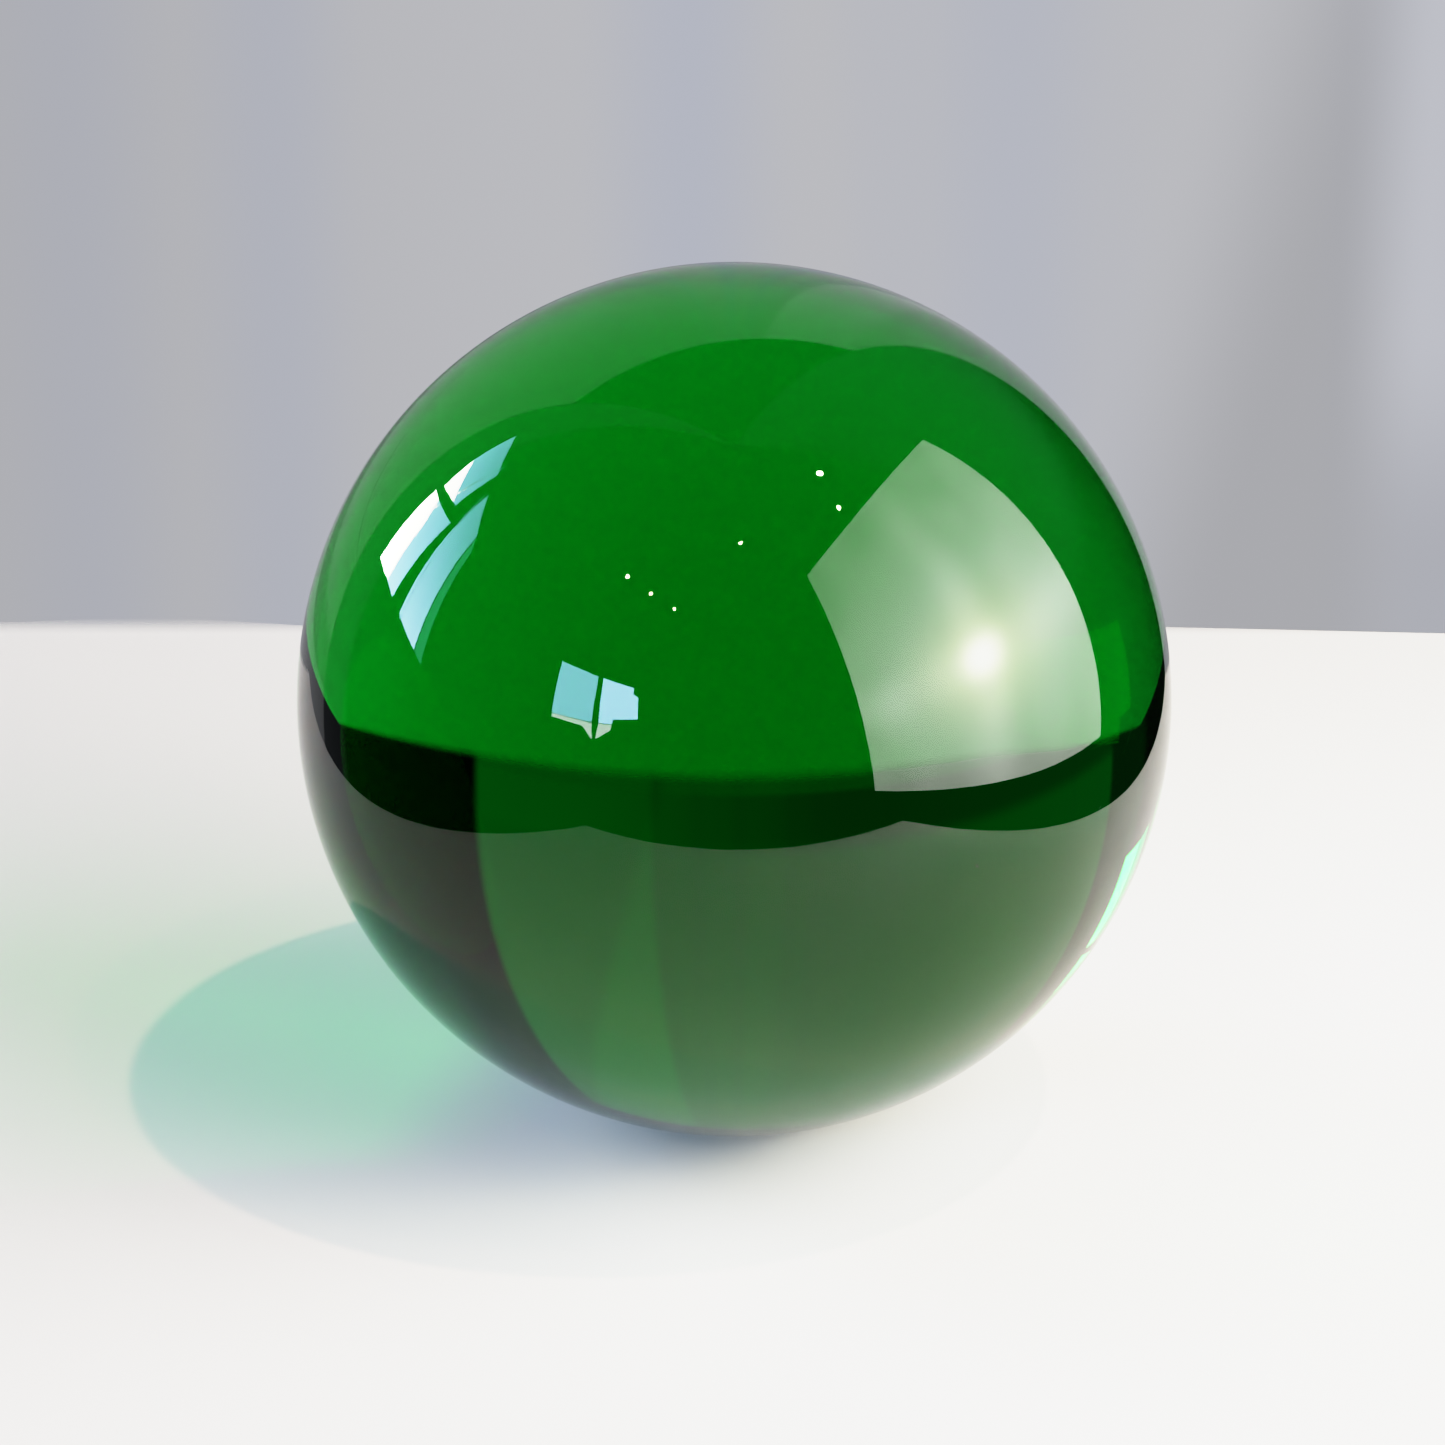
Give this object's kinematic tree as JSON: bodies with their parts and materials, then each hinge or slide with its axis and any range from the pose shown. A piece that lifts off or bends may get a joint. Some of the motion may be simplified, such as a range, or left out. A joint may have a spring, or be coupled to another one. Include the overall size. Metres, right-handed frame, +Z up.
{
  "type": "glass ball",
  "caption": "Solid ball of transparent green glass with a polished surface, in one piece with no flat, bore or seam, which lies free on a level surface.",
  "frame": {"origin": "centre of the ball", "axes": "+Z straight up from the point that the ball lies on, through its centre; X and Y are any two level directions, because the ball is the same all round"},
  "size_m": [0.076, 0.076, 0.076],
  "materials": {
    "green_glass": "polished, transparent, coloured all the way through"
  },
  "bodies": {
    "root": {"glass_ball": "green_glass"}
  },
  "joints": []
}
